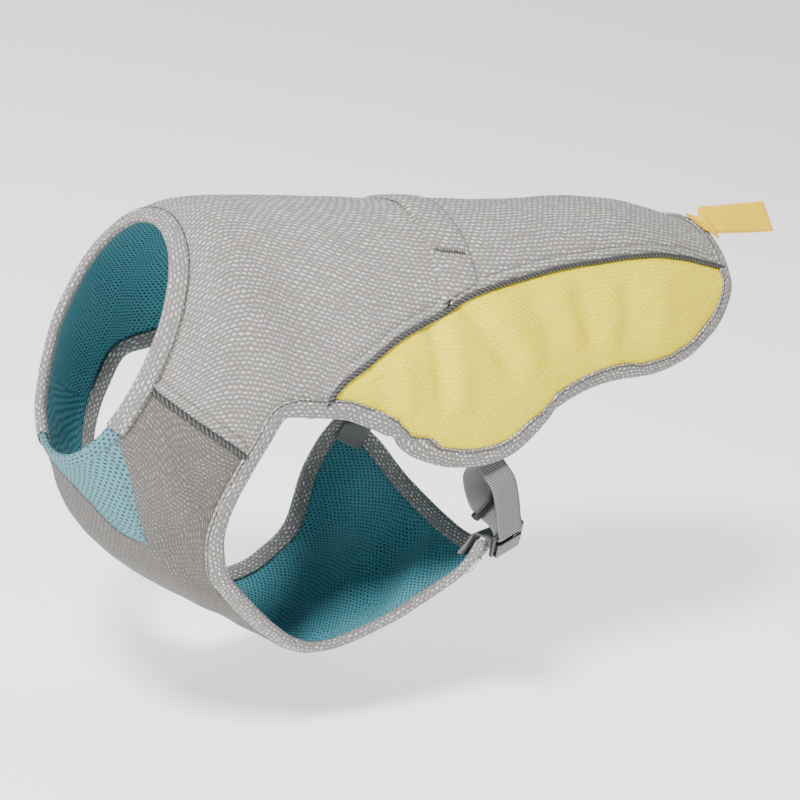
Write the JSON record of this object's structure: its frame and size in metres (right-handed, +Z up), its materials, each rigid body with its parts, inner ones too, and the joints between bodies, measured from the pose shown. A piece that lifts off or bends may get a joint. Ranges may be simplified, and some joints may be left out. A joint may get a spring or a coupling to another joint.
{
  "type": "dog cooling vest",
  "caption": "Worn-shape dog cooling vest in mesh cloth with bound neck, hem and leg holes, contrast flank panels, a belly flap, side straps with buckles and a tail tab.",
  "frame": {"origin": "on the wearer's back at the withers, at the lining's inner face", "axes": "+X towards the tail, +Y towards the wearer's right, +Z up; the head end is at -X"},
  "size_m": [0.5939, 0.2138, 0.3214],
  "materials": {
    "grey_mesh": "matte holed air mesh",
    "yellow_mesh": "matte air mesh",
    "teal_mesh": "matte holed mesh",
    "binding_mesh": "matte folded mesh strip",
    "piping_cord": "twisted cord",
    "webbing": "ribbed webbing",
    "yellow_ribbon": "smooth woven ribbon",
    "black_plastic": "satin moulded"
  },
  "bodies": {
    "root": {"back_front_panel": "grey_mesh", "back_rear_panel": "grey_mesh", "leash_band": "grey_mesh", "flank_panel_left": "yellow_mesh", "flank_panel_right": "yellow_mesh", "chest_panel": "grey_mesh", "neck_gore": "teal_mesh", "back_lining": "teal_mesh", "chest_lining": "teal_mesh", "neck_binding": "binding_mesh", "hem_binding_left": "binding_mesh", "hem_binding_right": "binding_mesh", "belly_binding": "binding_mesh", "shoulder_piping_left": "piping_cord", "shoulder_piping_right": "piping_cord", "flank_piping_left": "piping_cord", "flank_piping_right": "piping_cord", "tail_tab": "yellow_ribbon", "belly_strap_left": "webbing", "corner_tab_left": "webbing", "buckle_left": "black_plastic", "slider_left": "black_plastic", "belly_strap_right": "webbing", "corner_tab_right": "webbing", "buckle_right": "black_plastic", "slider_right": "black_plastic"}
  },
  "joints": []
}
